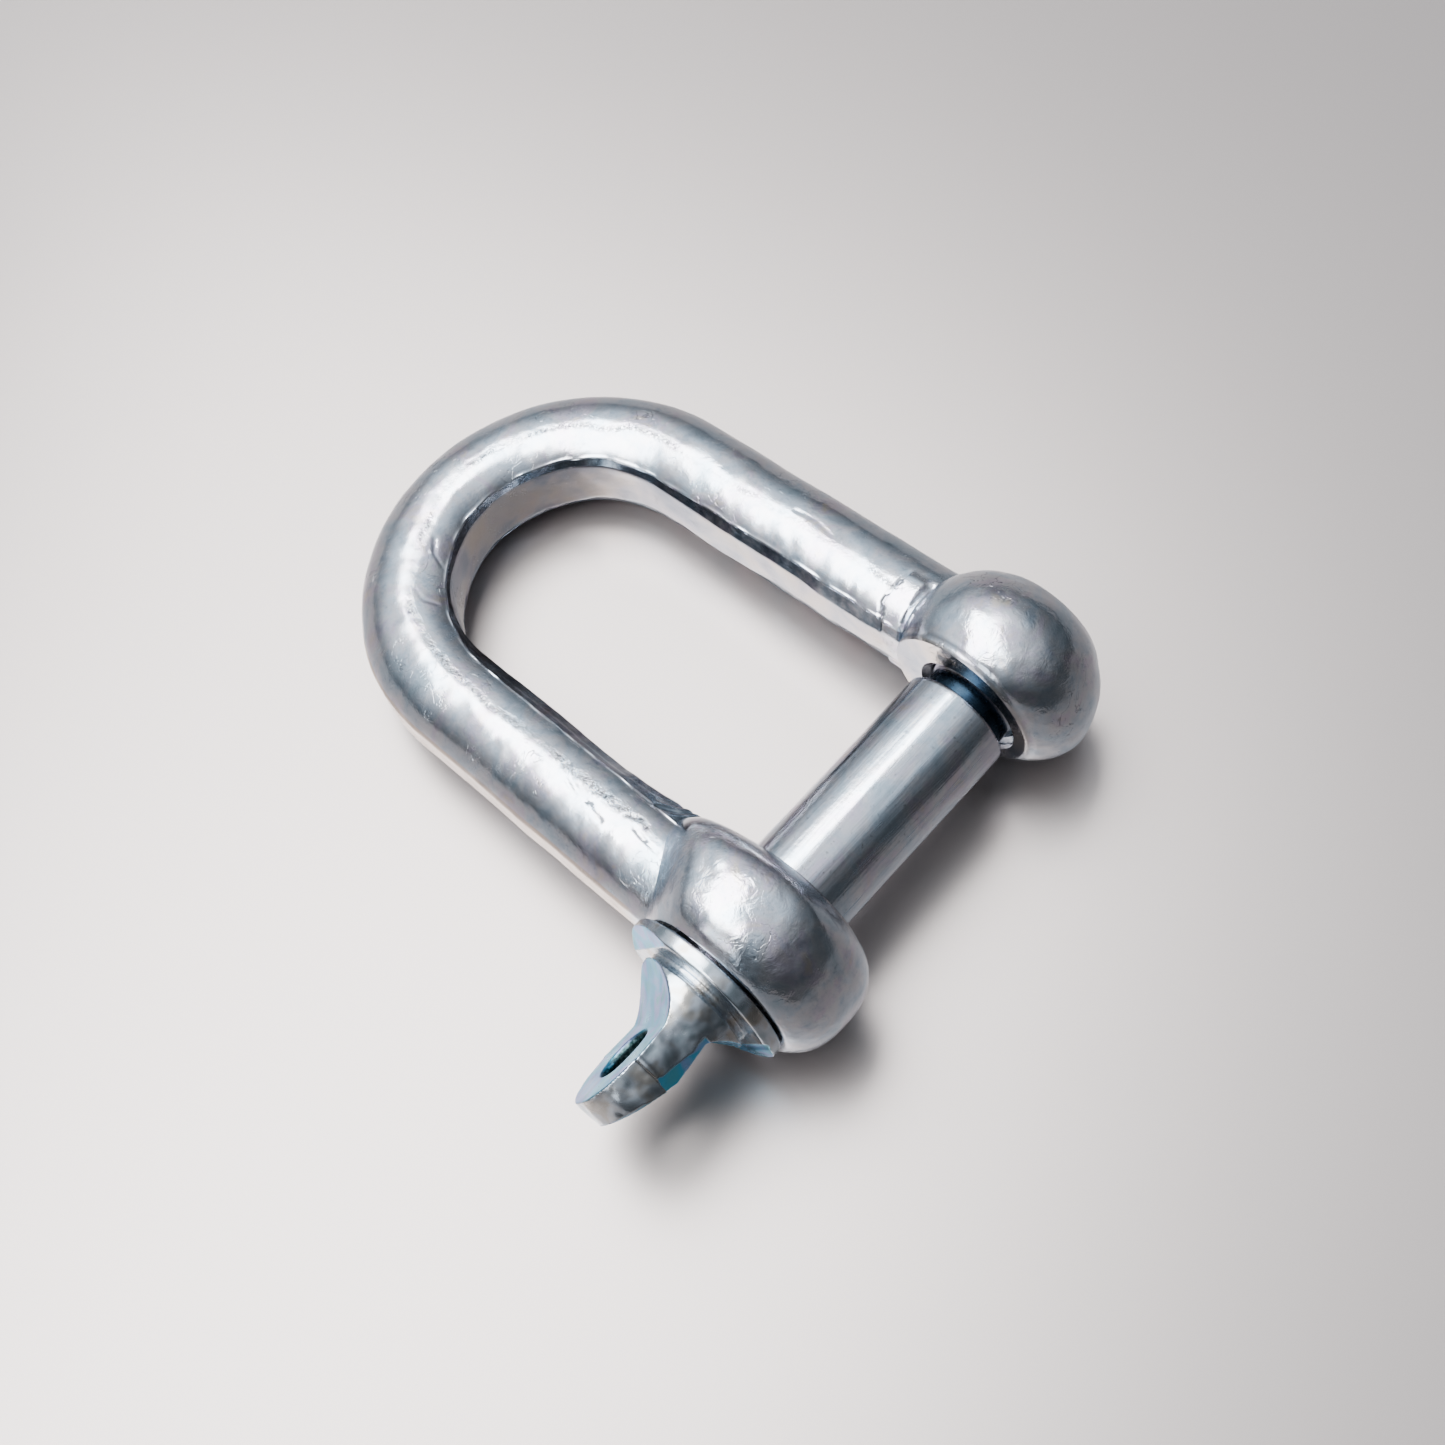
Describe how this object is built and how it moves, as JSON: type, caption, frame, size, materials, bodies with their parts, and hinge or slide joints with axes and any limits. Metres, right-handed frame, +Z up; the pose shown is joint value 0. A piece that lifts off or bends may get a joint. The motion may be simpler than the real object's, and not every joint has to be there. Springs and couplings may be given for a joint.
{
  "type": "screw-pin D shackle",
  "caption": "Forged zinc-plated D shackle with two lugs and a screw pin that turns out through them by its flat eye.",
  "frame": {"origin": "on the pin's axis, midway between the two legs", "axes": "X along the pin towards its thread (tipped 2.4 degrees down), Y towards the crown of the bow, Z up; the shackle lies flat on its two lugs and its crown on a level floor below the origin"},
  "size_m": [0.0932, 0.1047, 0.0334],
  "materials": {
    "zinc_forging": "bright zinc plate over forging scale, slightly rippled",
    "zinc_pin": "bright zinc plate, smooth"
  },
  "bodies": {
    "bow": {"shackle_body": "zinc_forging"},
    "pin_slide": {"pin_shank": "zinc_pin"},
    "pin_turning": {"pin_eye_head": "zinc_pin", "pin_threaded_end": "zinc_pin"}
  },
  "joints": [
    {"name": "pin_travel", "type": "slide", "parent": "bow", "child": "pin_slide", "axis": [-0.9991, 0, 0.0413], "range_m": [0, 0.054]},
    {"name": "pin_turn", "type": "hinge", "parent": "pin_slide", "child": "pin_turning", "pos_m": [0, 0, 0], "axis": [-0.9991, 0, 0.0413], "range_deg": [0, 9720]}
  ],
  "couplings": [
    {"joint": "pin_turn", "follows": "pin_travel", "rad_per_m": 3141.6}
  ]
}
